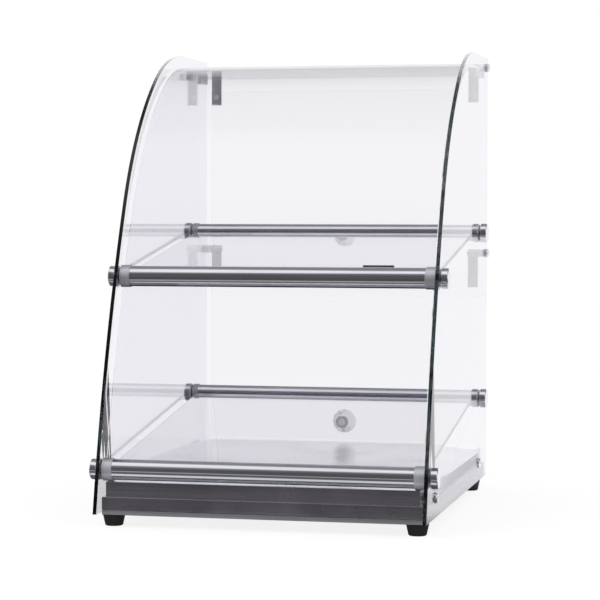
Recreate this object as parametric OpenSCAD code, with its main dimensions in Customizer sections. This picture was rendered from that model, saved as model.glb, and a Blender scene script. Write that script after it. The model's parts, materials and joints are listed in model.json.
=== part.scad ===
// Counter-top hot food display case: two glass side panels on a low heated base, joined by four cross
// bars that are slotted for a curved front glass and two sloping shelves, with two flap doors behind.
// X runs across the case, the front faces -Y, and Z is up from the surface it stands on.

/* [Side panels] */
// Width over the two side panels
case_w = 350; // [330:1:380]
// Depth of the side panels at the bottom
case_d = 438; // [436:1:450]
// Thickness of each side panel
side_t = 4; // [3:0.5:5]
// Radius of the front outline below the middle bar
outline_r_low = 1483; // [1400:1:1550]
// Radius of the front outline above the middle bar
outline_r_mid = 347; // [335:1:360]
// Radius of the front outline where it turns into the top
outline_r_top = 192; // [185:1:200]
// Lean of the front edge at the bottom, from upright
outline_lean = 11.8; // [11:0.1:12.5]
// Radius of the rear bottom corner
corner_r_bottom = 12; // [6:1:16]
// Radius of the rear top corner
corner_r_top = 6; // [3:1:8]

/* [Glazing] */
// Thickness of the front glass, shelves and doors
sheet_t = 4; // [3:0.5:4.5]
// Distance from the side panels' front edge to the middle of the front glass
glass_inset = 15; // [14:0.5:17]
// Gap beside a sheet in its slot
slot_gap = 0.4; // [0.2:0.1:0.6]
// Half width of the shelves
shelf_half_w = 164; // [160:1:164]

/* [Cross bars] */
// Diameter of the two front bars
front_bar_d = 22.5; // [22:0.5:24]
// Diameter of the two rear bars
rear_bar_d = 19; // [18:0.5:20]
// Height of the bottom front bar's axis
bottom_bar_z = 59.1; // [59:0.1:62]
// Height of the middle front bar's axis
middle_bar_z = 259.2; // [255:0.1:263]
// Height of the lower rear bar's axis
lower_rear_z = 110.9; // [108:0.1:114]
// Height of the upper rear bar's axis
upper_rear_z = 304; // [301:0.5:307]
// Distance of the rear bars' axis from the front
rear_bar_y = 378.6; // [375:0.1:382]
// Diameter of the caps outside the glass
cap_d = 22; // [20:0.5:24]
// Length of each cap
cap_l = 7.8; // [6:0.1:9]
// Length of the collars on the front bars
front_collar_l = 10.6; // [8:0.1:12]
// Length of the collars on the rear bars
rear_collar_l = 6; // [5:0.1:7]

/* [Base] */
// Height of the feet
foot_h = 12.5; // [10:0.5:16]
// Diameter of a foot where it meets the base
foot_d = 24; // [20:1:26]
// Height of the heated deck above the feet
base_h = 34.5; // [34:0.5:36]
// Height of the tray below the deck box
tray_h = 18.5; // [18:0.5:19]
// Distance of the base's front from the side panels' front corner
base_front_y = 15.5; // [14:0.5:18]
// Distance of the base's rear from the same corner
base_rear_y = 430; // [428:0.5:430]
// Sheet steel thickness
steel_t = 1; // [0.8:0.1:1.2]

/* [Doors] */
// Half width of the door glass
door_half_w = 163; // [158:1:164]
// Distance of the doors' inner face from the front
door_y = 430.6; // [430.4:0.1:431]
// Height of the upper door's hinge axis
upper_pivot_z = 499.2; // [498:0.1:500]
// Height of the lower door's hinge axis
lower_pivot_z = 279.5; // [278:0.1:281]
// Drop from each hinge axis to its door glass
door_drop = 24; // [22:0.5:26]
// Height of the upper door's bottom edge
upper_door_bottom = 286; // [285:0.5:288]
// Height of the lower door's bottom edge
lower_door_bottom = 51; // [50:0.5:54]
// Radius of a door knob's head
knob_r = 14.3; // [12:0.1:15]
// How far a door knob stands out from the glass
knob_l = 27.4; // [24:0.1:30]

/* [Controls] */
// Place of the thermostat across the rear panel
thermostat_x = 60; // [55:1:65]
// Place of the rocker switch across the rear panel
switch_x = -40; // [-45:1:-35]
// Place of the pilot lamp across the rear panel
lamp_x = 10; // [5:1:15]
// Place of the power inlet across the rear panel
inlet_x = -115; // [-125:1:-105]
// Rest tilt of the switch rocker
rocker_tilt = 8; // [5:1:10]

/* [Hidden] */

// A little, so that two solids of one piece join
eps = 0.01;
// How far a cut runs past the face it leaves
cut = 1;
// The origin is under the middle of the whole object, which ends behind at the door knobs
depth_all = door_y + sheet_t + knob_l;
outer_x = case_w / 2;
inner_x = outer_x - side_t;
panel_z = foot_h + 2;
deck_z = foot_h + base_h;
tray_top_z = foot_h + tray_h;

// Front outline: three arcs that run into each other, in the plane of Y and Z
lean_mid = 25;
lean_top = 55;
arc_radii = [outline_r_low, outline_r_mid, outline_r_top];
arc_steps = [12, 15, 14];
function leaning(a) = [-cos(a), sin(a)];
centre_low = [0, panel_z] - outline_r_low * leaning(outline_lean);
centre_mid = centre_low + (outline_r_low - outline_r_mid) * leaning(lean_mid);
centre_top = centre_mid + (outline_r_mid - outline_r_top) * leaning(lean_top);
arc_centres = [centre_low, centre_mid, centre_top];
top_z = centre_top[1] + outline_r_top;
// Points of one arc of the outline, moved inwards by inset, from lean a to lean b
function arc(i, inset, a, b) = [for (k = [0 : arc_steps[i]])
    arc_centres[i] + (arc_radii[i] - inset) * leaning(a + (b - a) * k / arc_steps[i])];
// The outline from lean a, somewhere on the low arc, to the flat top
function outline(inset, a) = concat(arc(0, inset, a, lean_mid), arc(1, inset, lean_mid, lean_top),
    arc(2, inset, lean_top, 90));
function backwards(list) = [for (k = [len(list) - 1 : -1 : 0]) list[k]];

// The front bars' axes lie on the middle line of the front glass
glass_r = outline_r_low - glass_inset;
function lean_at(z) = asin((z - centre_low[1]) / glass_r);
function glass_line(z) = centre_low + glass_r * leaning(lean_at(z));
bottom_bar = glass_line(bottom_bar_z);
middle_bar = glass_line(middle_bar_z);
lower_rear = [rear_bar_y, lower_rear_z];
upper_rear = [rear_bar_y, upper_rear_z];
front_bars = [bottom_bar, middle_bar];
rear_bars = [lower_rear, upper_rear];
all_bars = concat(front_bars, rear_bars);

// Slots and the rods inside the bars
rod_r = 3;
rod_hole_r = 3.4;
panel_hole_r = 4;
slot_w = sheet_t + 2 * slot_gap;
front_slot_r = front_bar_d / 2 - 5;
rear_slot_r = rear_bar_d / 2 - 4.3;
slot_l = 20;
sheet_end_gap = 0.5;
washer_t = 0.8;
glass_side_gap = 3;
glass_half_w = inner_x - glass_side_gap;
collar_wall = 0.8;
fit_gap = 0.05;
bar_half = inner_x - washer_t;
cap_inner_x = outer_x + washer_t;
// How far a rod screws into its cap, and the bore's spare depth
thread_l = 5;
bore_spare = 0.3;
// Angle of the line from a to b, above +Y
function slope(a, b) = atan2(b[1] - a[1], b[0] - a[0]);
lower_slope = slope(bottom_bar, lower_rear);
middle_slope = slope(middle_bar, upper_rear);
// Up along the glass at a bar, as an angle above +Y
function glass_up(bar) = 90 - lean_at(bar[1]);
top_glass_end_y = 422;

// Hinges
pivot_y = door_y - 0.1;
pin_r = 2.5;
pin_gap = 0.06;
hole_gap = 0.4;
pivot_zs = [lower_pivot_z, upper_pivot_z];
pin_head_r = 5;
pin_head_l = 4;
barrel_r = 4.5;
strap_inner_x = 150;
strap_w = 12;
strap_outer_x = strap_inner_x + strap_w;
strap_mid_x = strap_inner_x + strap_w / 2;
strap_l = 40.5;
strap_t = 2;
strap_screw_drop = 31.4;
m4_r = 2;
m4_hole_r = 2.3;
m4_head_r = 4;
m4_head_l = 2.2;
// A knob's height above its door's bottom edge, lower door first
knob_rise = [19.5, 11.5];
knob_bore = 10;
knob_z = [lower_door_bottom + knob_rise[0], upper_door_bottom + knob_rise[1]];

// Base
base_half_w = inner_x - 1;
box_half_w = base_half_w - 4;
box_front_y = base_front_y + 1.5;
cover_lip_h = 4.8;
seam = 0.2;
cover_t = 1.2;
flange_w = 9;
panel_t = 1.2;
control_z = foot_h + 19;
inlet_screw_dx = 20;
blades_y = base_rear_y - 13.5;
m3_hole_r = 1.8;
foot_x = 161;
foot_recess = 6;
foot_ys = [base_front_y + 14.5, base_rear_y - 30];
side_screw_ys = [57, 373];
side_screw_z = 35.3;
side_screw_head_r = 5.8;
feet_at = [for (x = [-foot_x, foot_x], y = foot_ys) [x, y]];
cover_screws_at = [for (x = [-120, 120], y = [60, 385]) [x, y]];
reflector_z = 27;
reflector_t = 0.8;
post_r = 4;
post_xs = [-140, 140];
post_ys = [50, 390];
element_z = 38;
element_r = 3.2;
bend_r = 30;
element_end_y = 400;
element_far_y = 360;
element_near_y = 90;
clip_ys = [150, 300];
leg_xs = [-3 * bend_r, -bend_r, bend_r, 3 * bend_r];
spindle_r = 3;
spindle_in = 15.5;
spindle_out = 9.8;
thermostat = [30, 22, 25];
rocker_y = base_rear_y - 3.8;
rocker_pin_r = 1;
terminal = [34, 12, 11];
terminal_x = -112;
terminal_y = 395;
wire_r = 1.1;

// Everything is drawn from the side panels' front corner, then moved to the origin
module placed() {
    translate([0, -depth_all / 2, 0]) children();
}

// A flat shape drawn in the plane of Y and Z, given thickness along X from x0 to x1
module across(x0, x1) {
    translate([x0, 0, 0]) rotate([90, 0, 90]) linear_extrude(x1 - x0) children();
}

// A round bar along X from x0 to x1 at a point of the plane of Y and Z
module rod_x(at, r, x0, x1, sides = 64) {
    translate([x0, at[0], at[1]]) rotate([0, 90, 0]) cylinder(r = r, h = x1 - x0, $fn = sides);
}

// A round bar along Y from y0 to y1
module rod_y(x, z, r, y0, y1, sides = 48) {
    translate([x, y0, z]) rotate([-90, 0, 0]) cylinder(r = r, h = y1 - y0, $fn = sides);
}

// A ring along X
module ring_x(at, r_out, r_in, x0, x1) {
    difference() {
        rod_x(at, r_out, x0, x1);
        rod_x(at, r_in, x0 - cut, x1 + cut);
    }
}

// A profile turned about an axis along Y, its base at y0: the profile's own Y becomes Y
module turned_y(x, y0, z, sides = 64) {
    translate([x, y0, z]) rotate([-90, 0, 0]) rotate_extrude($fn = sides) children();
}

// Both sides, left being the mirror image of right
module both_sides() {
    children();
    mirror([1, 0, 0]) children();
}

module panel_hole(x0, at, r) {
    rod_x(at, r, x0 - cut, x0 + side_t + cut);
}

// One side panel, from the inner face at x0 outwards
module side_panel(x0) {
    corner_steps = 6;
    rear_top = [for (k = [0 : corner_steps]) [case_d - corner_r_top, top_z - corner_r_top]
        + corner_r_top * [sin(90 * k / corner_steps), cos(90 * k / corner_steps)]];
    rear_bottom = [for (k = [0 : corner_steps]) [case_d - corner_r_bottom, panel_z + corner_r_bottom]
        + corner_r_bottom * [cos(90 * k / corner_steps), -sin(90 * k / corner_steps)]];
    difference() {
        across(x0, x0 + side_t) polygon(concat(outline(0, outline_lean), rear_top, rear_bottom));
        for (bar = all_bars) panel_hole(x0, bar, panel_hole_r);
        for (z = pivot_zs) panel_hole(x0, [pivot_y, z], pin_r + hole_gap);
        for (y = side_screw_ys) panel_hole(x0, [y, side_screw_z], m4_r + hole_gap);
    }
}

module side_panel_right() {
    color([0.85, 0.93, 0.9, 0.35]) placed() side_panel(inner_x);
}

module side_panel_left() {
    color([0.85, 0.93, 0.9, 0.35]) placed() side_panel(-outer_x);
}

// Curved glass from the middle bar up and back to the doors
module upper_front_glass() {
    start = lean_at(middle_bar_z) + (front_slot_r + sheet_end_gap) / glass_r * 180 / PI;
    outer = outline(glass_inset - sheet_t / 2, start);
    inner = outline(glass_inset + sheet_t / 2, start);
    rear_z = top_z - glass_inset;
    rear_edge = [[top_glass_end_y, rear_z + sheet_t / 2], [top_glass_end_y, rear_z - sheet_t / 2]];
    color([0.85, 0.93, 0.9, 0.35]) placed()
        across(-glass_half_w, glass_half_w) polygon(concat(outer, rear_edge, backwards(inner)));
}

// Gently bowed glass between the two front bars
module lower_front_glass() {
    end_turn = (front_slot_r + sheet_end_gap) / glass_r * 180 / PI;
    start = lean_at(bottom_bar_z) + end_turn;
    end = lean_at(middle_bar_z) - end_turn;
    outer = arc(0, glass_inset - sheet_t / 2, start, end);
    inner = arc(0, glass_inset + sheet_t / 2, start, end);
    color([0.85, 0.93, 0.9, 0.35]) placed()
        across(-glass_half_w, glass_half_w) polygon(concat(outer, backwards(inner)));
}

// Clear blocks bonded to the side panels that carry the flat top of the glass
module top_glass_blocks() {
    block = [8, 18, 8];
    block_ys = [345, 395];
    under_z = top_z - glass_inset - sheet_t / 2;
    color([0.9, 0.93, 0.92, 0.5]) placed() both_sides() for (y = block_ys)
        translate([inner_x - block[0], y, under_z - block[2]]) cube(block);
}

// The cut of one slot: a sheet leaves the bar at this angle above +Y
module slot_cut(bar, angle, from_r, half) {
    translate([-half, bar[0], bar[1]]) rotate([angle, 0, 0])
        translate([0, from_r, -slot_w / 2]) cube([2 * half, slot_l, slot_w]);
}

// All the slots of one front bar; the collars are cut by the same slots and stay whole rings at the glass
module front_slots(bar) {
    long = glass_half_w + slot_gap;
    up = glass_up(bar);
    shelf = bar == middle_bar ? middle_slope : lower_slope;
    slot_cut(bar, up, front_slot_r, long);
    slot_cut(bar, shelf, front_slot_r, long);
    if (bar == middle_bar) slot_cut(bar, up + 180, front_slot_r, long);
}

module front_bar(bar) {
    difference() {
        rod_x(bar, front_bar_d / 2, -bar_half, bar_half);
        rod_x(bar, rod_hole_r, -bar_half - cut, bar_half + cut);
        front_slots(bar);
    }
}

module rear_bar(bar, angle) {
    difference() {
        rod_x(bar, rear_bar_d / 2, -bar_half, bar_half);
        rod_x(bar, rod_hole_r, -bar_half - cut, bar_half + cut);
        slot_cut(bar, angle + 180, rear_slot_r, shelf_half_w + slot_gap);
    }
}

module middle_front_bar() {
    color("silver") placed() front_bar(middle_bar);
}

module bottom_front_bar() {
    color("silver") placed() front_bar(bottom_bar);
}

module upper_rear_bar() {
    color("silver") placed() rear_bar(upper_rear, middle_slope);
}

module lower_rear_bar() {
    color("silver") placed() rear_bar(lower_rear, lower_slope);
}

// One rod through each bar draws the caps against the glass
module tie_rods() {
    rod_half = cap_inner_x + thread_l;
    color("dimgray") placed() for (bar = all_bars) rod_x(bar, rod_r, -rod_half, rod_half, 32);
}

// Collars on the bars' ends, against the right side panel
module collars() {
    for (bar = front_bars) difference() {
        ring_x(bar, front_bar_d / 2 + collar_wall, front_bar_d / 2 + fit_gap,
            bar_half - front_collar_l, bar_half);
        front_slots(bar);
    }
    for (bar = rear_bars)
        ring_x(bar, rear_bar_d / 2 + collar_wall, rear_bar_d / 2 + fit_gap,
            bar_half - rear_collar_l, bar_half);
}

module collars_right() {
    color("gainsboro") placed() collars();
}

module collars_left() {
    color("gainsboro") placed() mirror([1, 0, 0]) collars();
}

// One cap, its threaded blind bore facing the glass
module cap(bar) {
    edge = 0.8;
    difference() {
        translate([cap_inner_x, bar[0], bar[1]]) rotate([0, 90, 0]) rotate_extrude($fn = 64)
            polygon([[0, 0], [cap_d / 2 - edge, 0], [cap_d / 2, edge], [cap_d / 2, cap_l - edge],
                [cap_d / 2 - edge, cap_l], [0, cap_l]]);
        rod_x(bar, rod_r + fit_gap, cap_inner_x - cut, cap_inner_x + thread_l + bore_spare);
    }
}

module caps_right() {
    color("silver") placed() for (bar = all_bars) cap(bar);
}

module caps_left() {
    color("silver") placed() mirror([1, 0, 0]) for (bar = all_bars) cap(bar);
}

// Soft rings on both faces of the glass at each bar
module bar_washers() {
    outer_r = cap_d / 2 - 1.5;
    inner_r = rear_bar_d / 2 - 0.5;
    color([0.85, 0.85, 0.85]) placed() both_sides() for (bar = all_bars) {
        ring_x(bar, outer_r, panel_hole_r, outer_x, cap_inner_x);
        ring_x(bar, inner_r, panel_hole_r, bar_half, inner_x);
    }
}

// A short dark wedge on top of the middle bar, behind the foot of the upper glass
module glass_wedge() {
    wedge_x = 91;
    wedge = [33, 3.2, 2.5];
    lift = 0.1;
    color([0.15, 0.15, 0.15]) placed() translate([wedge_x, middle_bar[0], middle_bar[1]])
        rotate([glass_up(middle_bar), 0, 0])
            translate([0, front_bar_d / 2 + lift, -sheet_t / 2 - wedge[2] - lift]) cube(wedge);
}

// A shelf lies on the line from bar to bar, its ends in their slots
module shelf(front, rear, angle) {
    run = norm(rear - front);
    from = front_slot_r + sheet_end_gap;
    to = run - rear_slot_r - sheet_end_gap;
    translate([-shelf_half_w, front[0], front[1]]) rotate([angle, 0, 0])
        translate([0, from, -sheet_t / 2]) cube([2 * shelf_half_w, to - from, sheet_t]);
}

module middle_shelf() {
    color([0.88, 0.94, 0.94, 0.35]) placed() shelf(middle_bar, upper_rear, middle_slope);
}

module lower_shelf() {
    color([0.88, 0.94, 0.94, 0.35]) placed() shelf(bottom_bar, lower_rear, lower_slope);
}

// Heated deck: a folded lid, open behind, that stands on the tray's flange
module deck_box() {
    rear = base_rear_y - panel_t;
    tall = deck_z - tray_top_z;
    color([0.45, 0.44, 0.47]) placed() difference() {
        translate([-box_half_w, box_front_y, tray_top_z])
            cube([2 * box_half_w, base_rear_y - box_front_y, tall]);
        translate([-box_half_w + steel_t, box_front_y + steel_t, tray_top_z - cut])
            cube([2 * (box_half_w - steel_t), rear - box_front_y, tall + cut - steel_t]);
        translate([-box_half_w - cut, rear, tray_top_z - cut])
            cube([2 * (box_half_w + cut), panel_t + cut, tall + cut - steel_t]);
        both_sides() for (y = side_screw_ys)
            rod_x([y, side_screw_z], m4_r + 0.1, box_half_w - steel_t - cut, box_half_w + cut);
    }
}

// Tray: a three-sided wall with flanges turned in at top and bottom
module base_tray() {
    low_z = foot_h + cover_lip_h + seam;
    wide = 2 * base_half_w;
    long = base_rear_y - base_front_y;
    color([0.45, 0.44, 0.47]) placed() difference() {
        translate([-base_half_w, base_front_y, low_z]) cube([wide, long, tray_top_z - low_z]);
        translate([-base_half_w + steel_t, base_front_y + steel_t, low_z + steel_t])
            cube([wide - 2 * steel_t, long, tray_top_z - low_z - 2 * steel_t]);
        translate([-base_half_w + flange_w, base_front_y + flange_w, low_z - cut])
            cube([wide - 2 * flange_w, long, tray_top_z - low_z + 2 * cut]);
    }
}

// Shallow pan that closes the base from below
module bottom_cover() {
    wide = 2 * base_half_w;
    long = base_rear_y - base_front_y;
    color([0.4, 0.4, 0.42]) placed() difference() {
        translate([-base_half_w, base_front_y, foot_h]) cube([wide, long, cover_lip_h]);
        translate([-base_half_w + steel_t, base_front_y + steel_t, foot_h + cover_t])
            cube([wide - 2 * steel_t, long - 2 * steel_t, cover_lip_h]);
        for (at = concat(feet_at, cover_screws_at))
            translate([at[0], at[1], foot_h - cut]) cylinder(r = m4_hole_r, h = cover_t + 2 * cut, $fn = 32);
    }
}

// Screws up through the cover into the blocks under the deck
module cover_screws() {
    reach = 9;
    color("silver") placed() for (at = cover_screws_at) translate([at[0], at[1], foot_h]) {
        translate([0, 0, -m4_head_l]) cylinder(r1 = m4_head_r - 1, r2 = m4_head_r, h = m4_head_l, $fn = 32);
        translate([0, 0, -eps]) cylinder(r = m4_r, h = reach, $fn = 32);
    }
}

// Control panel across the back of the base
module rear_panel() {
    low_z = foot_h + cover_lip_h + steel_t + 2 * seam;
    low_half_w = base_half_w - steel_t - seam / 2;
    high_half_w = box_half_w - flange_w;
    step = 3;
    color([0.5, 0.5, 0.52]) placed() difference() {
        union() {
            translate([-low_half_w, base_rear_y - panel_t, low_z])
                cube([2 * low_half_w, panel_t, tray_top_z - steel_t - seam / 2 - low_z]);
            translate([-high_half_w, base_rear_y - panel_t, tray_top_z - step])
                cube([2 * high_half_w, panel_t, deck_z - steel_t - tray_top_z + step]);
        }
        for (at = [[thermostat_x, 5], [lamp_x, 5.2], [inlet_x - inlet_screw_dx, m3_hole_r],
            [inlet_x + inlet_screw_dx, m3_hole_r]])
            rod_y(at[0], control_z, at[1], base_rear_y - panel_t - cut, base_rear_y + cut);
        for (window = [[switch_x, 19.2, 13.2], [inlet_x, 28, 20]])
            translate([window[0] - window[1] / 2, base_rear_y - panel_t - cut, control_z - window[2] / 2])
                cube([window[1], panel_t + 2 * cut, window[2]]);
    }
}

// Tapered rubber foot with a recess for its screw
module foot(x, y) {
    low_r = foot_d / 2 - 2.5;
    round = 1.2;
    recess_r = 4.6;
    color([0.05, 0.05, 0.05]) placed() translate([x, y, 0]) rotate_extrude($fn = 64)
        polygon([[recess_r, 0], [low_r - round, 0], [low_r - round / 3, round / 3], [low_r, round],
            [foot_d / 2, foot_h], [m4_hole_r, foot_h], [m4_hole_r, foot_recess], [recess_r, foot_recess]]);
}

module foot_front_left() {
    foot(-foot_x, foot_ys[0]);
}

module foot_front_right() {
    foot(foot_x, foot_ys[0]);
}

module foot_rear_left() {
    foot(-foot_x, foot_ys[1]);
}

module foot_rear_right() {
    foot(foot_x, foot_ys[1]);
}

module foot_screws() {
    above_cover = 3;
    color("silver") placed() for (at = feet_at) translate([at[0], at[1], foot_recess - m4_head_l]) {
        cylinder(r = m4_head_r, h = m4_head_l, $fn = 32);
        cylinder(r = m4_r, h = foot_h + above_cover - foot_recess + m4_head_l, $fn = 32);
    }
}

// Screws from outside the glass into the deck box
module base_screws() {
    head_l = 2.5;
    socket_r = 2;
    socket_y = 1.6;
    inside = 6;
    color("silver") placed() both_sides() for (y = side_screw_ys) {
        translate([outer_x, y, side_screw_z]) rotate([0, 90, 0]) rotate_extrude($fn = 48)
            polygon([[0, 0], [side_screw_head_r, 0], [side_screw_head_r, 1],
                [side_screw_head_r - 1.2, head_l], [socket_r, head_l], [socket_r, socket_y], [0, socket_y]]);
        rod_x([y, side_screw_z], m4_r, box_half_w - inside, outer_x + eps, 32);
    }
}

module base_spacers() {
    color([0.9, 0.9, 0.9]) placed() both_sides() for (y = side_screw_ys)
        ring_x([y, side_screw_z], 4, m4_hole_r, box_half_w, inner_x);
}

// Half a ring of element in the plane of the deck, open towards +Y or -Y
module element_bend(x, y, side) {
    translate([x, y, element_z]) rotate([0, 0, side > 0 ? 0 : 180])
        rotate_extrude(angle = 180, $fn = 64) translate([bend_r, 0]) circle(r = element_r, $fn = 32);
}

// Tubular element bent into four legs under the deck
module heating_element() {
    color([0.3, 0.25, 0.22]) placed() {
        for (x = [leg_xs[0], leg_xs[3]]) rod_y(x, element_z, element_r, element_near_y, element_end_y, 32);
        for (x = [leg_xs[1], leg_xs[2]]) rod_y(x, element_z, element_r, element_near_y, element_far_y, 32);
        for (x = [-2 * bend_r, 2 * bend_r]) element_bend(x, element_near_y, -1);
        element_bend(0, element_far_y, 1);
    }
}

module element_clips() {
    block = [10, 8, 14];
    color([0.7, 0.7, 0.7]) placed() for (x = leg_xs, y = clip_ys) difference() {
        translate([x - block[0] / 2, y, reflector_z + reflector_t]) cube(block);
        rod_y(x, element_z, element_r + 0.1, y - cut, y + block[1] + cut, 32);
    }
}

// Shallow bright tray under the element
module reflector() {
    size = [300, 358, 3];
    front_y = 40;
    lip_t = 1;
    color([0.8, 0.8, 0.82]) placed() translate([-size[0] / 2, front_y, reflector_z]) difference() {
        cube(size);
        translate([lip_t, lip_t, reflector_t]) cube([size[0] - 2 * lip_t, size[1] - 2 * lip_t, size[2]]);
    }
}

module reflector_posts() {
    low_z = foot_h + cover_t;
    color("silver") placed() for (x = post_xs, y = post_ys)
        translate([x, y, low_z]) cylinder(r = post_r, h = reflector_z - low_z, $fn = 32);
}

module thermostat_body() {
    bush_r = 4.8;
    bush_end = 0.5;
    bore_l = 16;
    front = base_rear_y - panel_t;
    color([0.85, 0.82, 0.75]) placed() difference() {
        union() {
            translate([thermostat_x, front, control_z]) translate([-thermostat[0] / 2, -thermostat[1],
                -thermostat[2] / 2]) cube(thermostat);
            rod_y(thermostat_x, control_z, bush_r, front - cut, base_rear_y + bush_end);
        }
        rod_y(thermostat_x, control_z, spindle_r + fit_gap, front - bore_l, base_rear_y + cut);
    }
}

// Sensing bulb between two legs of the element, with its fine tube to the thermostat
module thermostat_bulb() {
    bulb_r = 3;
    tube_r = 1;
    bulb_ys = [190, 270];
    color([0.75, 0.5, 0.35]) placed() {
        rod_y(2 * bend_r, element_z, bulb_r, bulb_ys[0], bulb_ys[1], 32);
        rod_y(2 * bend_r, element_z, tube_r, bulb_ys[1] - eps, base_rear_y - panel_t - thermostat[1], 24);
    }
}

// Round knob with a pointer rib
module thermostat_knob() {
    knob_base_y = base_rear_y + 1;
    knob_len = 14;
    skirt_r = 13;
    skirt_l = 3;
    rib = [3, 12, 10];
    socket_l = 9;
    color([0.08, 0.08, 0.08]) placed() difference() {
        union() {
            turned_y(thermostat_x, knob_base_y, control_z)
                polygon([[0, 0], [skirt_r, 0], [skirt_r, skirt_l], [10.5, 4.5], [9.5, knob_len - 1],
                    [8.5, knob_len], [0, knob_len]]);
            translate([thermostat_x - rib[0] / 2, knob_base_y + skirt_l, control_z]) cube(rib);
        }
        rod_y(thermostat_x, control_z, spindle_r, knob_base_y - cut, knob_base_y + socket_l);
    }
}

module thermostat_spindle() {
    color("silver") placed() rod_y(thermostat_x, control_z, spindle_r, base_rear_y - panel_t - spindle_in,
        base_rear_y + spindle_out);
}

// Bezel and housing of the rocker switch, with a hole each side for the rocker's pins
module switch_frame() {
    outer = [21, 1.8, 15];
    body = [19, 16.5, 13];
    hollow = [15.4, 20, 11];
    body_y = base_rear_y - 16;
    floor_y = base_rear_y - 10;
    color([0.07, 0.07, 0.07]) placed() difference() {
        union() {
            translate([switch_x - outer[0] / 2, base_rear_y, control_z - outer[2] / 2]) cube(outer);
            translate([switch_x - body[0] / 2, body_y, control_z - body[2] / 2]) cube(body);
        }
        translate([switch_x - hollow[0] / 2, floor_y, control_z - hollow[2] / 2]) cube(hollow);
        translate([switch_x, rocker_y, control_z - body[2] / 2 - cut])
            cylinder(r = rocker_pin_r + pin_gap, h = body[2] + 2 * cut, $fn = 32);
    }
}

// Rocker: tilts about an upright pin, its face bent in the middle
module switch_rocker() {
    half = 7;
    tall = 10;
    middle = 3.8;
    pin_l = 12.4;
    color([0.75, 0.08, 0.05]) placed() translate([switch_x, rocker_y, control_z])
    rotate([0, 0, rocker_tilt]) {
        translate([0, 0, -tall / 2]) linear_extrude(tall)
            polygon([[-half, 3], [-half, 4.6], [-half + 0.5, 5], [0, middle], [half - 0.5, 5], [half, 4.6],
                [half, 3], [3, -2.4], [-3, -2.4]]);
        translate([0, 0, -pin_l / 2]) cylinder(r = rocker_pin_r, h = pin_l, $fn = 32);
    }
}

module pilot_lamp() {
    inside = 14;
    stem_r = 4.6;
    lens_r = 6.5;
    color([0.9, 0.35, 0.1]) placed() turned_y(lamp_x, base_rear_y - inside, control_z, 48)
        polygon([[0, 0], [stem_r, 0], [stem_r, inside], [lens_r, inside], [lens_r, inside + 1.2],
            [stem_r, inside + 2], [3, inside + 3.4], [0, inside + 4]]);
}

// Three-pole socket for a detachable mains lead
module power_inlet() {
    flange = [48, 2.5, 23];
    shell = [27.4, 18, 19.4];
    mouth = [24, 16, 17.2];
    color([0.08, 0.08, 0.08]) placed() difference() {
        union() {
            translate([inlet_x - flange[0] / 2, base_rear_y, control_z - flange[2] / 2]) cube(flange);
            translate([inlet_x - shell[0] / 2, base_rear_y - shell[1], control_z - shell[2] / 2])
                cube([shell[0], shell[1] + cut, shell[2]]);
        }
        translate([inlet_x - mouth[0] / 2, blades_y, control_z - mouth[2] / 2]) cube(mouth);
        for (dx = [-inlet_screw_dx, inlet_screw_dx])
            rod_y(inlet_x + dx, control_z, m3_hole_r, base_rear_y - cut, base_rear_y + flange[1] + cut);
    }
}

// Line, neutral and earth blades
module inlet_blades() {
    blade = [2, 14, 4];
    color("goldenrod") placed() for (at = [[-7, 2], [0, -2], [7, 2]])
        translate([inlet_x + at[0] - blade[0] / 2, blades_y, control_z + at[1] - blade[2] / 2]) cube(blade);
}

module inlet_screws() {
    shank_r = 1.6;
    under_head_y = base_rear_y + 2.5;
    color("silver") placed() for (dx = [-inlet_screw_dx, inlet_screw_dx]) {
        rod_y(inlet_x + dx, control_z, shank_r, base_rear_y - 5, under_head_y + eps, 32);
        turned_y(inlet_x + dx, under_head_y, control_z, 32)
            polygon([[0, 0], [3, 0], [2.6, 1.2], [1.2, 1.6], [1.2, 1], [0, 1]]);
    }
}

// Three screw terminals on the floor of the base
module terminal_block() {
    pitch = 11;
    depth = 6;
    color([0.92, 0.92, 0.9]) placed() translate([terminal_x, terminal_y, foot_h + cover_t]) difference() {
        cube(terminal);
        for (k = [0 : 2]) translate([6 + pitch * k, terminal[1] / 2, terminal[2] - depth])
            cylinder(r = 2, h = depth + cut, $fn = 32);
    }
}

// Straight run of wire between two points that differ along one axis
module wire_run(a, b) {
    step = b - a;
    turn = step[0] != 0 ? [0, 90 * sign(step[0]), 0] : step[1] != 0 ? [-90 * sign(step[1]), 0, 0]
        : [step[2] > 0 ? 0 : 180, 0, 0];
    translate(a) rotate(turn) cylinder(r = wire_r, h = norm(step), $fn = 24);
    translate(b) sphere(r = wire_r, $fn = 24);
}

module wire(points) {
    for (k = [0 : len(points) - 2]) wire_run(points[k], points[k + 1]);
}

// Leads from the switch to the thermostat and from the terminal block to the element
module wiring() {
    switch_lead = [switch_x, base_rear_y - 17.2, 24];
    back = [0, -3.8, 0];
    across = [thermostat_x - 17 - switch_x, 0, 0];
    terminal_lead = [terminal_x + terminal[0] + 2, terminal_y + terminal[1] / 2, foot_h + cover_t + 3.5];
    side = [6, 0, 0];
    color([0.75, 0.1, 0.1]) placed() {
        wire([switch_lead, switch_lead + back, switch_lead + back + across]);
        wire([terminal_lead, terminal_lead + side, terminal_lead + side + [0, 17, 0],
            terminal_lead + 4 * side + [0, 17, 0]]);
    }
}

// Door glass with its holes for the strap screws and the knob screw
module door_glass(pivot_z, bottom_z, knob_height) {
    top = pivot_z - door_drop;
    difference() {
        translate([-door_half_w, door_y, bottom_z]) cube([2 * door_half_w, sheet_t, top - bottom_z]);
        for (x = [-strap_mid_x, strap_mid_x])
            rod_y(x, pivot_z - strap_screw_drop, m4_hole_r, door_y - cut, door_y + sheet_t + cut, 32);
        rod_y(0, knob_height, m4_hole_r, door_y - cut, door_y + sheet_t + cut, 32);
    }
}

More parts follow.
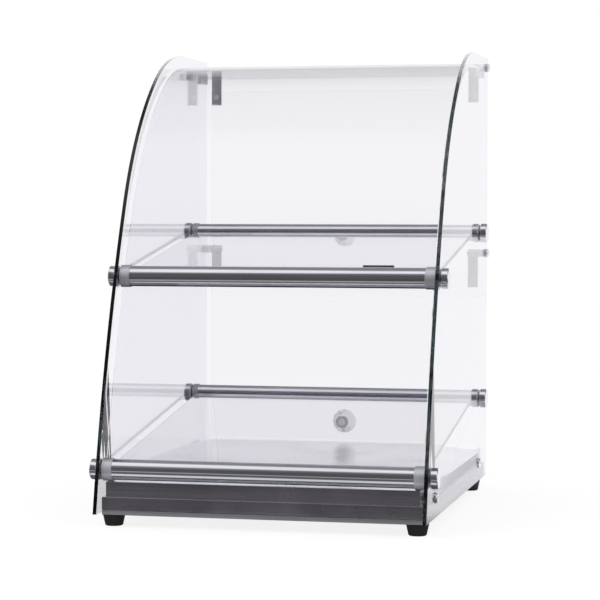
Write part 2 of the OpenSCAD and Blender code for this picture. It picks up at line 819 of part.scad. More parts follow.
module upper_door() {
    color([0.88, 0.94, 0.94, 0.35]) placed() door_glass(upper_pivot_z, upper_door_bottom, knob_z[1]);
}

module lower_door() {
    color([0.88, 0.94, 0.94, 0.35]) placed() door_glass(lower_pivot_z, lower_door_bottom, knob_z[0]);
}

// Steel strap with a rolled eye at the top and a hole for its screw
module straps(pivot_z) {
    both_sides() difference() {
        union() {
            translate([strap_inner_x, door_y - strap_t, pivot_z - strap_l]) cube([strap_w, strap_t, strap_l]);
            rod_x([pivot_y, pivot_z], barrel_r, strap_inner_x, strap_outer_x);
        }
        rod_x([pivot_y, pivot_z], pin_r + pin_gap, strap_inner_x - cut, strap_outer_x + cut);
        rod_y(strap_mid_x, pivot_z - strap_screw_drop, m4_hole_r, door_y - strap_t - cut, door_y + cut, 32);
    }
}

module upper_door_straps() {
    color("darkgray") placed() straps(upper_pivot_z);
}

module lower_door_straps() {
    color("darkgray") placed() straps(lower_pivot_z);
}

// Half outline of a domed M4 head with a socket
module m4_head_outline() {
    polygon([[0, 0], [m4_head_r, 0], [3.2, 1.4], [1.6, m4_head_l], [1.6, 1.4], [0, 1.4]]);
}

// Dome-headed screw from behind, with its nut in front of the strap
module strap_screws(pivot_z) {
    z = pivot_z - strap_screw_drop;
    nut_r = 3.6;
    nut_l = 2.4;
    past_nut = 0.6;
    for (x = [-strap_mid_x, strap_mid_x]) {
        rod_y(x, z, m4_r, door_y - strap_t - nut_l - past_nut, door_y + sheet_t + eps, 32);
        turned_y(x, door_y + sheet_t, z, 32) m4_head_outline();
        translate([x, door_y - strap_t, z]) rotate([90, 0, 0]) cylinder(r = nut_r, h = nut_l, $fn = 6);
    }
}

module upper_strap_screws() {
    color("silver") placed() strap_screws(upper_pivot_z);
}

module lower_strap_screws() {
    color("silver") placed() strap_screws(lower_pivot_z);
}

// Pins through the side panels that the doors swing on
module hinge_pins() {
    color("silver") placed() both_sides() for (z = pivot_zs) {
        rod_x([pivot_y, z], pin_r, strap_inner_x - 1, outer_x + eps, 48);
        translate([outer_x, pivot_y, z]) rotate([0, 90, 0]) rotate_extrude($fn = 48)
            polygon([[0, 0], [pin_head_r, 0], [pin_head_r, 1.5], [4, 3.2], [2.4, pin_head_l],
                [0, pin_head_l]]);
    }
}

module hinge_spacers() {
    color([0.92, 0.92, 0.9]) placed() both_sides() for (z = pivot_zs)
        ring_x([pivot_y, z], barrel_r - 0.1, pin_r + 0.1, strap_outer_x + hole_gap, inner_x);
}

// Clear round knob with a neck, drilled for its screw
module door_knob(z) {
    neck_r = 6;
    foot_r = 8;
    flatten = 0.82;
    head_y = knob_l - knob_r;
    difference() {
        turned_y(0, door_y + sheet_t, z)
            polygon(concat([[0, 0], [foot_r, 0], [foot_r, 1.8], [neck_r, 3.2], [neck_r, 4.4]],
                [for (a = [-60 : 12 : 48]) [knob_r * cos(a), head_y + knob_r * sin(a) * flatten]],
                [[7, knob_l], [0, knob_l]]));
        rod_y(0, z, m4_r, door_y, door_y + sheet_t + knob_bore, 32);
    }
}

module upper_door_knob() {
    color([0.9, 0.92, 0.95, 0.5]) placed() door_knob(knob_z[1]);
}

module lower_door_knob() {
    color([0.9, 0.92, 0.95, 0.5]) placed() door_knob(knob_z[0]);
}

// Screw through the door glass into the knob, its head inside
module knob_screw(z) {
    rod_y(0, z, m4_r, door_y - eps, door_y + sheet_t + knob_bore - 0.5, 32);
    translate([0, door_y, z]) rotate([90, 0, 0]) rotate_extrude($fn = 32) m4_head_outline();
}

module upper_knob_screw() {
    color("silver") placed() knob_screw(knob_z[1]);
}

module lower_knob_screw() {
    color("silver") placed() knob_screw(knob_z[0]);
}

side_panel_left();
side_panel_right();
upper_front_glass();
lower_front_glass();
top_glass_blocks();
middle_front_bar();
bottom_front_bar();
upper_rear_bar();
lower_rear_bar();
tie_rods();
collars_left();
collars_right();
caps_left();
caps_right();
bar_washers();
glass_wedge();
middle_shelf();
lower_shelf();
deck_box();
base_tray();
bottom_cover();
cover_screws();
rear_panel();
foot_front_left();
foot_front_right();
foot_rear_left();
foot_rear_right();
foot_screws();
base_screws();
base_spacers();
heating_element();
element_clips();
reflector();
reflector_posts();
thermostat_body();
thermostat_bulb();
thermostat_knob();
thermostat_spindle();
switch_frame();
switch_rocker();
pilot_lamp();
power_inlet();
inlet_blades();
inlet_screws();
terminal_block();
wiring();
upper_door();
lower_door();
upper_door_straps();
lower_door_straps();
upper_strap_screws();
lower_strap_screws();
hinge_pins();
hinge_spacers();
upper_door_knob();
lower_door_knob();
upper_knob_screw();
lower_knob_screw();
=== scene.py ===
import json
import math

import bmesh
import bpy
from mathutils import Matrix, Vector


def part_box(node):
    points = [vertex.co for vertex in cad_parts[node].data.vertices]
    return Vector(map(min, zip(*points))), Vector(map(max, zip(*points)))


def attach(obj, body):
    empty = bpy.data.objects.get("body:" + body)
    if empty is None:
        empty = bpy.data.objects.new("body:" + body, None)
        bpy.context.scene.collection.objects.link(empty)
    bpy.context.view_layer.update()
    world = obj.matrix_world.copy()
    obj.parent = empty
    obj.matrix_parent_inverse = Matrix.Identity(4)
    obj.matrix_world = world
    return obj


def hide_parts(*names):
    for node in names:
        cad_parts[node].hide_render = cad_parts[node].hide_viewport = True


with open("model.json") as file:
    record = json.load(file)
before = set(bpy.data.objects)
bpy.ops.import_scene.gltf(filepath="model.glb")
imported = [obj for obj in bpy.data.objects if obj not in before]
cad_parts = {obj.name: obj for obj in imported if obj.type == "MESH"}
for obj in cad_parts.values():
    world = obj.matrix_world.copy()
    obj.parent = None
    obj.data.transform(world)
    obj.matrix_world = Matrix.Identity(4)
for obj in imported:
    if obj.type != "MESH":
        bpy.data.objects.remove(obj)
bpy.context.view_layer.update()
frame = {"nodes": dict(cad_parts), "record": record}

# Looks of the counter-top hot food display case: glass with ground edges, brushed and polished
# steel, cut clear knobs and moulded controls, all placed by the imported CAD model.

MM = 0.001
NODES = frame["nodes"]
scene = bpy.context.scene


# ---------------------------------------------------------------- camera, world, floor, light

# Where the camera stands in metres, how it is turned in degrees, and its lens in millimetres
CAMERA_AT = Vector((0.52304, -2.3449, 0.32557))
CAMERA_YAW = 12.738
CAMERA_PITCH = 2.284
CAMERA_ROLL = 0.06
CAMERA_LENS = 128.95
CAMERA_SENSOR = 36


def make_camera():
    """The camera at the photograph's viewing angle."""
    data = bpy.data.cameras.new("camera")
    data.lens = CAMERA_LENS
    data.sensor_width = CAMERA_SENSOR
    data.clip_end = 50
    camera = bpy.data.objects.new("camera", data)
    turn = Matrix.Rotation(math.radians(CAMERA_YAW), 4, "Z")
    tilt = Matrix.Rotation(math.radians(90 - CAMERA_PITCH), 4, "X")
    roll = Matrix.Rotation(math.radians(CAMERA_ROLL), 4, "Z")
    camera.matrix_world = Matrix.Translation(CAMERA_AT) @ turn @ tilt @ roll
    scene.collection.objects.link(camera)
    scene.camera = camera


def tinted(level, tint):
    """A colour of the given brightness and tint."""
    return tuple(level * c for c in tint)


class Tree:
    """A node tree with short calls for adding nodes and joining them."""

    def __init__(self, tree):
        self.tree = tree
        self.tree.nodes.clear()

    def add(self, kind, props=None, **inputs):
        """Adds a node. Inputs are named by their socket, with _ for a space; a socket is linked."""
        node = self.tree.nodes.new("ShaderNode" + kind)
        for key, value in (props or {}).items():
            setattr(node, key, value)
        for key, value in inputs.items():
            index = int(key[1:]) if key[0] == "i" and key[1:].isdigit() else key.replace("_", " ")
            self.put(node, index, value)
        return node

    def put(self, node, index, value):
        if isinstance(value, bpy.types.NodeSocket):
            self.tree.links.new(value, node.inputs[index])
        else:
            node.inputs[index].default_value = value

    def math(self, operation, a, b=0.0, clamp=False):
        return self.add("Math", {"operation": operation, "use_clamp": clamp}, i0=a, i1=b).outputs[0]

    def ramp(self, factor, stops):
        """A colour ramp; stops are (place, grey) or (place, (r, g, b))."""
        node = self.add("ValToRGB", i0=factor)
        elements = node.color_ramp.elements
        while len(elements) < len(stops):
            elements.new(0.5)
        for element, (place, colour) in zip(elements, stops):
            element.position = place
            rgb = colour if isinstance(colour, tuple) else (colour,) * 3
            element.color = (*rgb, 1)
        return node.outputs[0]

    def mix(self, factor, a, b):
        """A mix of two colours."""
        node = self.add("Mix", {"data_type": "RGBA"})
        self.put(node, 0, factor)
        for index, value in ((6, a), (7, b)):
            self.put(node, index, (*value, 1) if isinstance(value, tuple) else value)
        return node.outputs[2]

    def times(self, a, b):
        """The product of a colour and a fixed (r, g, b)."""
        node = self.add("Mix", {"data_type": "RGBA", "blend_type": "MULTIPLY"}, i0=1.0, i6=a, i7=(*b, 1))
        return node.outputs[2]

    def fade(self, value, start, end):
        """0 below start and 1 above end, with a smooth step between them."""
        node = self.add("MapRange", {"interpolation_type": "SMOOTHSTEP"}, i0=value, i1=start, i2=end)
        return node.outputs[0]

    def scaled(self, value, old, new=(0.0, 1.0)):
        """The value, taken from the old range to the new one."""
        return self.add("MapRange", i0=value, i1=old[0], i2=old[1], i3=new[0], i4=new[1]).outputs[0]

    def two_tones(self, factor, places, levels, tint):
        """A ramp from a dark to a light level of one tint."""
        return self.ramp(factor, [(place, tinted(level, tint)) for place, level in zip(places, levels)])

    def in_mirrors(self):
        """1 where a ray has been mirrored, and 0 where it is seen straight or through glass."""
        return self.math("GREATER_THAN", self.add("LightPath").outputs["Glossy Depth"], 0.5)


# What polished metal mirrors, by the direction round the X axis: 0 degrees is level towards the
# front, 90 straight up, 180 level towards the back, and -90 straight down
STUDIO_ROUND_X = [
    (-180, 1.0), (-90, 0.2), (-32, 0.10), (22, 0.10), (44, 0.24), (55, 1.0), (80, 1.0), (90, 0.30),
    (135, 0.22), (152, 0.6), (165, 1.0), (180, 1.0),
]

# What polished metal mirrors of the floor, by the distance behind the middle of the case in metres:
# painted shade dim far in front, a lighter painted band, painted light at the foot of the base, painted
# shadow under it, white behind
FLOOR_BACKWARDS = [
    (-0.80, 0.08), (-0.56, 0.08), (-0.50, 0.42), (-0.41, 0.42), (-0.37, 0.12), (-0.285, 0.12),
    (-0.27, 0.75), (-0.245, 0.75), (-0.232, 0.10), (0.22, 0.12), (0.27, 0.50), (0.45, 0.85), (0.60, 1.0),
]

# What metal mirrors at the two sides, from straight down at 0, past level at 0.5, to straight up at 1
STUDIO_SIDES = [(0.0, 0.2), (0.45, 0.45), (0.5, 0.8), (0.7, 0.9), (0.85, 0.4), (1.0, 0.3)]

# How far sideways, as the X of a direction, the mirrored sides and the white left wall fade in
SIDES_FROM, SIDES_TO = 0.75, 0.97
WALL_FROM, WALL_TO = 0.36, 0.6

# Where the mirrored floor turns white on the right of the case and towards its back, in metres
WHITE_RIGHT = (0.17, 0.20)
WHITE_BACK = (-0.2, 0.0)

# The white of the backdrop as glass and steel show it
BACKDROP = (0.95, 0.943, 0.965)
WHITE = (1.0, 1.0, 1.0)

# Half the floor's side in metres, and how much it reflects and gives out as a light table
FLOOR_HALF = 6
FLOOR_GREY = 0.16
FLOOR_GLOW = 0.85

# What the lights aim at
CASE_MIDDLE = Vector((0, 0, 0.25))


def make_world():
    """White all round, and in mirrors a dim studio, white behind and on the left, with a soft box above."""
    world = bpy.data.worlds.new("studio")
    scene.world = world
    world.use_nodes = True
    world.cycles.sampling_method = "NONE"
    t = Tree(world.node_tree)
    x, y, z = t.add("SeparateXYZ", i0=t.add("TexCoord").outputs["Generated"]).outputs
    turn = t.math("DIVIDE", t.math("ARCTAN2", z, t.math("MULTIPLY", y, -1.0)), 2 * math.pi)
    round_x = [(angle / 360 + 0.5, grey) for angle, grey in STUDIO_ROUND_X]
    studio = t.ramp(t.math("ADD", turn, 0.5), round_x)
    wall = t.fade(t.math("MULTIPLY", x, -1.0), WALL_FROM, WALL_TO)
    studio = t.mix(wall, studio, WHITE)
    height = t.math("ADD", t.math("MULTIPLY", z, 0.5), 0.5)
    sides = t.fade(t.math("ABSOLUTE", x), SIDES_FROM, SIDES_TO)
    studio = t.mix(sides, studio, t.ramp(height, STUDIO_SIDES))
    colour = t.mix(t.in_mirrors(), WHITE, t.times(studio, BACKDROP))
    background = t.add("Background", Color=colour, Strength=1.0)
    t.add("OutputWorld", Surface=background.outputs[0])


def floor_in_mirrors(t):
    """The colour that mirrors show of the floor: painted light and shade, white on the right and towards
    the back.
    """
    x, y, _ = t.add("SeparateXYZ", i0=t.add("TexCoord").outputs["Object"]).outputs
    nearest, furthest = FLOOR_BACKWARDS[0][0], FLOOR_BACKWARDS[-1][0]
    stops = [((place - nearest) / (furthest - nearest), grey) for place, grey in FLOOR_BACKWARDS]
    # Painted light and shade on the floor, seen only in mirrors.
    bands = t.ramp(t.scaled(y, (nearest, furthest)), stops)
    at_side = t.math("MULTIPLY", t.fade(x, *WHITE_RIGHT), t.fade(y, *WHITE_BACK))
    return t.times(t.mix(at_side, bands, WHITE), BACKDROP)


def make_floor():
    """A plain pale floor, lit like a light table so that only soft contact shadows show; in mirrors it
    shows painted light and shade.
    """
    half = FLOOR_HALF
    mesh = bpy.data.meshes.new("floor")
    corners = [(-half, -half, 0), (half, -half, 0), (half, half, 0), (-half, half, 0)]
    mesh.from_pydata(corners, [], [(0, 1, 2, 3)])
    floor = bpy.data.objects.new("floor", mesh)
    scene.collection.objects.link(floor)
    material, t = new_material("pale_floor")
    diffuse = t.add("BsdfDiffuse", Color=(FLOOR_GREY, FLOOR_GREY, FLOOR_GREY, 1))
    glow = t.add("Emission", Color=(*WHITE, 1), Strength=FLOOR_GLOW)
    table = t.add("AddShader", i0=diffuse.outputs[0], i1=glow.outputs[0])
    mirrored = t.add("Emission", Color=floor_in_mirrors(t), Strength=1.0)
    both = t.add("MixShader", i0=t.in_mirrors(), i1=table.outputs[0], i2=mirrored.outputs[0])
    t.add("OutputMaterial", Surface=both.outputs[0])
    mesh.materials.append(material)


def soft_box(name, at, size, power):
    """A soft light aimed at the middle of the case, unseen itself in glass and metal."""
    data = bpy.data.lights.new(name, "AREA")
    data.shape = "RECTANGLE"
    data.size, data.size_y = size
    data.energy = power
    light = bpy.data.objects.new(name, data)
    light.location = at
    light.rotation_euler = (CASE_MIDDLE - Vector(at)).to_track_quat("-Z", "Y").to_euler()
    light.visible_glossy = False
    light.visible_transmission = False
    scene.collection.objects.link(light)


def make_studio():
    """Camera, world, floor and lights, and enough bounces to see through every sheet of glass."""
    make_camera()
    make_world()
    make_floor()
    soft_box("key", at=(-1.2, -1.6, 1.8), size=(1.2, 1.0), power=10)
    soft_box("fill", at=(1.8, -0.6, 1.2), size=(1.0, 1.0), power=6)
    scene.view_settings.view_transform = "Standard"
    scene.cycles.max_bounces = 28
    scene.cycles.transmission_bounces = 28
    scene.cycles.glossy_bounces = 12
    scene.cycles.diffuse_bounces = 3
    scene.cycles.transparent_max_bounces = 16


# ---------------------------------------------------------------- materials

# Ranges of a noise's own values, as (low, high)
MIDDLE = (0.3, 0.7)
LONG_MIDDLE = (0.3, 0.75)

# How far a side panel's ground edge turns back, as the Y of its normal, from painted shade to painted light
EDGE_SHADE_TURNS = (-0.6, -0.2)

# Tints of steel: in general, on level flats with painted light, on upright faces with painted shade, and of
# fasteners; and its wear, out of 1
STEEL_TINT = (0.94, 0.95, 1.0)
LIT_TOP_TINT = (0.97, 0.97, 1.0)
SHADED_UPRIGHT_TINT = (1.0, 0.95, 1.06)
FASTENER_GREY = (0.92, 0.92, 0.95)
STEEL_WEAR = 0.35

# The relief of a finish, as the height of its bumps
GLASS_RELIEF = 0.3 * MM
STEEL_RELIEF = 0.15 * MM
FINE_RELIEF = 0.1 * MM


def new_material(name):
    """A new material and its empty tree."""
    material = bpy.data.materials.new(name)
    material.use_nodes = True
    return material, Tree(material.node_tree)


def finish_material(t, texture, bump, relief, **inputs):
    """A Principled shader with a bump from the texture, joined to the output."""
    shader = t.add("BsdfPrincipled", **inputs)
    node = t.add("Bump", Strength=bump, Distance=relief, Height=texture)
    t.put(shader, "Normal", node.outputs[0])
    t.add("OutputMaterial", Surface=shader.outputs[0])


def stretched_noise(t, along, scale, stretch):
    """Noise drawn out along one axis of the object, as brushing leaves it."""
    place = t.add("TexCoord").outputs["Object"]
    factors = [scale * stretch] * 3
    factors["XYZ".index(along)] = scale
    mapping = t.add("Mapping", Vector=place, Scale=factors)
    return t.add("TexNoise", Vector=mapping.outputs[0], Scale=1.0, Detail=4.0).outputs["Fac"]


def even_noise(t, scale, detail):
    """Noise of the same size in every direction of the object."""
    place = t.add("TexCoord").outputs["Object"]
    return t.add("TexNoise", Vector=place, Scale=scale, Detail=detail).outputs["Fac"]


def glass(name, tint, roughness=0.0, smears=0.0, ior=1.5, shine=1.0, clear=1.0):
    """Clear glass with a barely uneven surface; smears add wiped marks, clear below 1 makes it milky."""
    material, t = new_material(name)
    rough = roughness
    if smears:
        marks = t.ramp(even_noise(t, 14, 6), [(0.5, 0.0), (0.75, smears)])
        rough = t.math("ADD", marks, roughness)
    finish_material(
        t, even_noise(t, 22, 1), 0.04, GLASS_RELIEF, Base_Color=(*tint, 1), Roughness=rough, IOR=ior,
        Transmission_Weight=clear, Specular_Tint=(shine, shine, shine, 1))
    return material


def edge_glass(name, front, back, roughness):
    """The ground edge of a side panel: dark green-black in front, partly the glass's own tint and partly
    painted shade, and made paler by painted light where it turns up and back.
    """
    material, t = new_material(name)
    normal = t.add("SeparateXYZ", i0=t.add("NewGeometry").outputs["True Normal"])
    turned = t.scaled(normal.outputs[1], EDGE_SHADE_TURNS)
    blotches = t.math("MULTIPLY", t.math("SUBTRACT", even_noise(t, 40, 3), 0.5), 0.04)
    # Painted shade on edges that face the front and painted light on edges turned back, with faint random
    # blotches.
    colour = t.mix(t.math("ADD", turned, blotches, clamp=True), front, back)
    finish_material(
        t, even_noise(t, 500, 3), 0.1, FINE_RELIEF, Base_Color=colour, Roughness=roughness, IOR=1.5,
        Transmission_Weight=1.0)
    return material


def steel(name, along, tone, rough, grain=40, stretch=45, bump=0.12, metallic=1.0):
    """Brushed or polished steel: drawn-out grain in tone, gloss and relief, with faint handling marks."""
    material, t = new_material(name)
    lines = stretched_noise(t, along, grain, stretch)
    broad = even_noise(t, 9, 4)
    shade = t.two_tones(lines, MIDDLE, tone, STEEL_TINT)
    worn = t.math("MULTIPLY", t.ramp(broad, [(0.45, 0.0), (0.8, 1.0)]), STEEL_WEAR)
    colour = t.mix(worn, shade, tinted(0.8 * tone[0], STEEL_TINT))
    both = t.math("ADD", t.math("MULTIPLY", lines, 0.7), t.math("MULTIPLY", broad, 0.3))
    gloss = t.scaled(both, MIDDLE, rough)
    finish_material(t, lines, bump, STEEL_RELIEF, Base_Color=colour, Metallic=metallic, Roughness=gloss)
    return material


def sheet_steel(name, top, upright, rough):
    """Brushed sheet steel: the flats that lie level carry painted light, the upright ones painted shade
    with blotchy handling marks.
    """
    material, t = new_material(name)
    lines = stretched_noise(t, "X", 8, 140)
    broad = even_noise(t, 18, 5)
    normal = t.add("SeparateXYZ", i0=t.add("NewGeometry").outputs["Normal"])
    is_level = t.scaled(t.math("ABSOLUTE", normal.outputs[2]), (0.6, 0.95))
    half_each = t.math("ADD", t.math("MULTIPLY", lines, 0.5), t.math("MULTIPLY", broad, 0.5))
    painted_shade_upright = t.two_tones(half_each, (0.35, 0.65), upright, SHADED_UPRIGHT_TINT)
    lit_level = t.two_tones(lines, MIDDLE, top, LIT_TOP_TINT)
    # Painted light on level flats and painted shade on upright faces, chosen by which way each face points.
    colour = t.mix(is_level, painted_shade_upright, lit_level)
    gloss = t.scaled(broad, MIDDLE, rough)
    finish_material(t, lines, 0.1, STEEL_RELIEF, Base_Color=colour, Metallic=1.0, Roughness=gloss)
    return material


def moulded(name, colour, rough, spread=0.35, bump=0.08, **extra):
    """Moulded plastic or rubber: fine texture, slightly uneven colour and gloss."""
    material, t = new_material(name)
    broad = even_noise(t, 35, 4)
    patches = t.ramp(broad, [(0.35, 0.0), (0.75, 1.0)])
    shade = t.mix(patches, colour, tinted(1 - spread, colour))
    gloss = t.scaled(broad, MIDDLE, rough)
    finish_material(t, even_noise(t, 900, 2), bump, FINE_RELIEF, Base_Color=shade, Roughness=gloss, **extra)
    return material


def metal(name, colour, rough, spots=0.4, metallic=1.0):
    """Plain metal such as copper, brass or plating, with darker spots where it has tarnished."""
    material, t = new_material(name)
    broad = even_noise(t, 60, 5)
    tarnish = t.math("MULTIPLY", t.ramp(broad, [(0.5, 0.0), (0.8, 1.0)]), spots)
    shade = t.mix(tarnish, colour, tinted(0.45, colour))
    gloss = t.scaled(broad, LONG_MIDDLE, rough)
    finish_material(
        t, even_noise(t, 300, 3), 0.08, FINE_RELIEF, Base_Color=shade, Metallic=metallic, Roughness=gloss)
    return material


def glazing_materials():
    """Clear glass by the part it makes: faces, ground edges, blocks, knobs and washers."""
    return {
        "panel_face": glass("side_glass_face", (0.925, 0.92, 0.95), smears=0.04),
        # The first colour is the edge's painted shade, the second its painted light.
        "panel_edge": edge_glass("side_glass_edge", (0.0015, 0.003, 0.0032), (0.80, 0.84, 0.84), 0.12),
        "panel_back": glass("side_glass_back", (0.93, 0.95, 0.95), roughness=0.1, ior=1.12),
        "sheet_face": glass("clear_glass_face", (0.93, 0.925, 0.95), smears=0.04, shine=0.3),
        "door_face": glass("door_glass_face", (0.985, 0.983, 0.99), smears=0.04, shine=0.2),
        "shelf_face": glass("shelf_glass_face", (0.988, 0.986, 0.992), smears=0.04, shine=0.5),
        "sheet_edge": glass("clear_glass_edge", (0.96, 0.965, 0.975), roughness=0.05, ior=1.12),
        "block": glass("clear_block", (0.93, 0.935, 0.945), roughness=0.08, ior=1.18, clear=0.55),
        "knob": glass("cut_acrylic", (0.92, 0.92, 0.945), ior=1.36, clear=0.8),
        "washer": glass("washer_clear", (0.93, 0.93, 0.94), roughness=0.3, ior=1.42),
    }


def steel_materials():
    """Stainless steel by the part it makes."""
    return {
        "bar": steel("bar_steel", "X", (0.80, 0.94), (0.06, 0.16), grain=6, stretch=160, bump=0.05),
        "cap": steel("cap_steel", "X", (0.84, 0.95), (0.08, 0.16), grain=20, stretch=60, bump=0.05),
        "collar": steel("collar_steel", "X", (0.84, 0.95), (0.5, 0.6), grain=20, stretch=60),
        "rod": steel("rod_steel", "X", (0.45, 0.6), (0.3, 0.4)),
        # Deck and tray: the first tones are level flats with painted light, the second upright faces with
        # painted shade.
        "deck": sheet_steel("deck_steel", (0.87, 0.96), (0.26, 0.40), (0.18, 0.28)),
        "tray": sheet_steel("tray_steel", (0.82, 0.92), (0.24, 0.36), (0.22, 0.34)),
        "cover": steel("cover_steel", "X", (0.42, 0.55), (0.3, 0.45), grain=8, stretch=120),
        "strap": steel("strap_steel", "Z", (0.8, 0.92), (0.4, 0.5), grain=30, stretch=40, metallic=0.7),
        "fastener": metal("fastener_steel", FASTENER_GREY, (0.14, 0.3), spots=0.2),
        "pin": metal("pin_steel", FASTENER_GREY, (0.4, 0.5), spots=0.15, metallic=0.5),
        # Mostly diffuse pale steel: on the strap screws it shows light all over, a painted glint in place
        # of a polished screw's reflection.
        "knob_screw": metal("knob_screw_steel", FASTENER_GREY, (0.3, 0.4), spots=0.1, metallic=0.15),
    }


def other_metals():
    """Plating, the heating element and its reflector, copper and brass."""
    return {
        "post": metal("zinc_plate", (0.62, 0.64, 0.66), (0.3, 0.5)),
        "sheath": metal("element_sheath", (0.16, 0.13, 0.11), (0.45, 0.65), spots=0.6),
        "aluminium": metal("reflector_aluminium", (0.78, 0.79, 0.80), (0.14, 0.3), spots=0.15),
        "copper": metal("bulb_copper", (0.72, 0.40, 0.25), (0.2, 0.4)),
        "brass": metal("blade_brass", (0.72, 0.52, 0.22), (0.2, 0.35)),
    }


def moulded_materials():
    """Rubber, plastic, ceramic and the covering of the leads."""
    return {
        "foot": moulded("foot_rubber", (0.012, 0.012, 0.013), (0.42, 0.6), bump=0.15),
        "wedge": moulded("wedge_rubber", (0.15, 0.15, 0.16), (0.4, 0.6)),
        "nylon": moulded("white_nylon", (0.78, 0.78, 0.76), (0.35, 0.5), spread=0.08),
        "black": moulded("black_plastic", (0.016, 0.016, 0.017), (0.3, 0.42), bump=0.12),
        "rocker": moulded("rocker_red", (0.50, 0.025, 0.02), (0.16, 0.26), spread=0.15, bump=0.03,
                          Coat_Weight=0.4, Coat_Roughness=0.08),
        "lens": moulded("lamp_lens", (0.75, 0.16, 0.03), (0.1, 0.2), spread=0.15, bump=0.02,
                        Transmission_Weight=0.35, Coat_Weight=0.5, Coat_Roughness=0.05),
        "wire": moulded("wire_red", (0.5, 0.03, 0.03), (0.35, 0.5)),
        "ceramic": moulded("terminal_white", (0.74, 0.72, 0.66), (0.3, 0.5), spread=0.12),
    }


def make_materials():
    """Every material, by its short name."""
    return glazing_materials() | steel_materials() | other_metals() | moulded_materials()


# ---------------------------------------------------------------- pieces made from the CAD nodes

# Edges sharper than this stay sharp; points closer than WELD are one; flatter joints are dissolved
SHARP = math.radians(28)
WELD = 0.002 * MM
FLAT = math.radians(0.2)

# The ground corner along the edges of the sheets, and the wider one of the side panels
SHEET_ARRIS = 0.1 * MM
PANEL_ARRIS = 0.3 * MM

# Faces narrower than this are edges of a sheet: it is a little over the thickness of the sheets
EDGE_WIDTH = 4.6 * MM

# A flat pane's broad sides have a normal at least this square to it, and a bent sheet's broad sides
# have one that leans less than this towards either side
SQUARE = 0.9
EDGEWISE = 0.3


def node_mesh(node):
    """A CAD node's mesh as a bmesh, with its doubled points joined and its flat faces whole."""
    bm = bmesh.new()
    bm.from_mesh(NODES[node].data)
    bmesh.ops.remove_doubles(bm, verts=bm.verts, dist=WELD)
    bmesh.ops.dissolve_limit(bm, angle_limit=FLAT, verts=bm.verts, edges=bm.edges)
    return bm


def finish_piece(bm, name, looks, body, node):
    """Turns a bmesh into a piece that rides on a body and stands for a CAD node."""
    mesh = bpy.data.meshes.new(name)
    bm.to_mesh(mesh)
    bm.free()
    for look in looks:
        mesh.materials.append(look)
    mesh.shade_smooth()
    mesh.set_sharp_from_angle(angle=SHARP)
    piece = bpy.data.objects.new(name, mesh)
    scene.collection.objects.link(piece)
    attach(piece, body)
    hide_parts(node)
    return piece


def ground_glass(node, name, body, looks, look_of, arris=SHEET_ARRIS):
    """A pane with ground edges: look_of tells which of the looks each face has."""
    bm = node_mesh(node)
    sharp = [e for e in bm.edges if e.is_manifold and e.calc_face_angle(0) > SHARP]
    bmesh.ops.bevel(bm, geom=sharp, offset=arris, segments=1, affect="EDGES", clamp_overlap=True)
    bm.normal_update()
    for f in bm.faces:
        f.material_index = look_of(f)
    return finish_piece(bm, name, looks, body, node)


def bar_end(node):
    """Where a bar crosses the side panels, as (y, z)."""
    low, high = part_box(node)
    return (low.y + high.y) / 2, (low.z + high.z) / 2


BARS = ("middle_front_bar", "bottom_front_bar", "upper_rear_bar", "lower_rear_bar")
BAR_ENDS = [bar_end(node) for node in BARS]

# Faces this near to the middle of a bar's end are the wall of the hole that it goes through
HOLE_REACH = 9 * MM


def look_of_panel(f):
    """Side panels: 0 on the broad faces, 1 on the front edge with painted shade, 2 on the pale edges and
    holes.
    """
    if abs(f.normal.x) > SQUARE:
        return 0
    centre = f.calc_center_median()
    in_hole = any((centre.y - y) ** 2 + (centre.z - z) ** 2 < HOLE_REACH ** 2 for y, z in BAR_ENDS)
    return 2 if in_hole or f.normal.y > EDGE_SHADE_TURNS[1] else 1


def look_of_door(f):
    """Doors: 0 on the two broad sides, 1 on the edges."""
    return 0 if abs(f.normal.y) > SQUARE else 1


def look_of_sheet(f):
    """Bent and level sheets: 0 on the two broad sides, 1 on the edges."""
    longest = max(e.calc_length() for e in f.edges)
    return 0 if abs(f.normal.x) < EDGEWISE and f.calc_area() / longest > EDGE_WIDTH else 1


def make_side_panels(m):
    """Both side panels, with painted shade on their front edges and pale rear edges."""
    looks = [m["panel_face"], m["panel_edge"], m["panel_back"]]
    for side in ("left", "right"):
        ground_glass("side_panel_" + side, "side_glass_" + side, "case", looks, look_of_panel,
                     arris=PANEL_ARRIS)


def make_front_sheets(m):
    """The two sheets of the curved front."""
    for node in ("upper_front_glass", "lower_front_glass"):
        ground_glass(node, node + "_pane", "case", [m["sheet_face"], m["sheet_edge"]],
                     look_of_sheet)


def make_shelves(m):
    """The two sloping shelves."""
    for node in ("middle_shelf", "lower_shelf"):
        ground_glass(node, node + "_pane", "case", [m["shelf_face"], m["sheet_edge"]],
                     look_of_sheet)


def make_doors(m):
    """The glass of the two flap doors."""
    for node in ("upper_door", "lower_door"):
        ground_glass(node, node + "_pane", node, [m["door_face"], m["sheet_edge"]],
                     look_of_door)


# ---------------------------------------------------------------- cut clear door knobs

FACETS = 12
FACET_ARRIS = 0.18 * MM

# The knob's rings, as (place along it, radius, turned by half a facet), both out of its own size
KNOB_RINGS = [
    (0.0, 0.55, 0), (0.05, 0.56, 0), (0.10, 0.42, 0), (0.17, 0.42, 0), (0.30, 0.80, 1), (0.52, 1.0, 0),
    (0.70, 0.93, 1), (0.88, 0.72, 0), (1.0, 0.46, 0),
]


def join_rings(bm, a, b, turned_a, turned_b):
    """Faces between two rings: four-sided where they line up, or else pairs of triangles."""
    for k in range(FACETS):
        k1 = (k + 1) % FACETS
        if turned_a == turned_b:
            bm.faces.new((a[k], a[k1], b[k1], b[k]))
        elif turned_b:
            bm.faces.new((a[k], a[k1], b[k]))
            bm.faces.new((a[k1], b[k1], b[k]))
        else:
            bm.faces.new((a[k], b[k1], b[k]))
            bm.faces.new((a[k], a[k1], b[k1]))


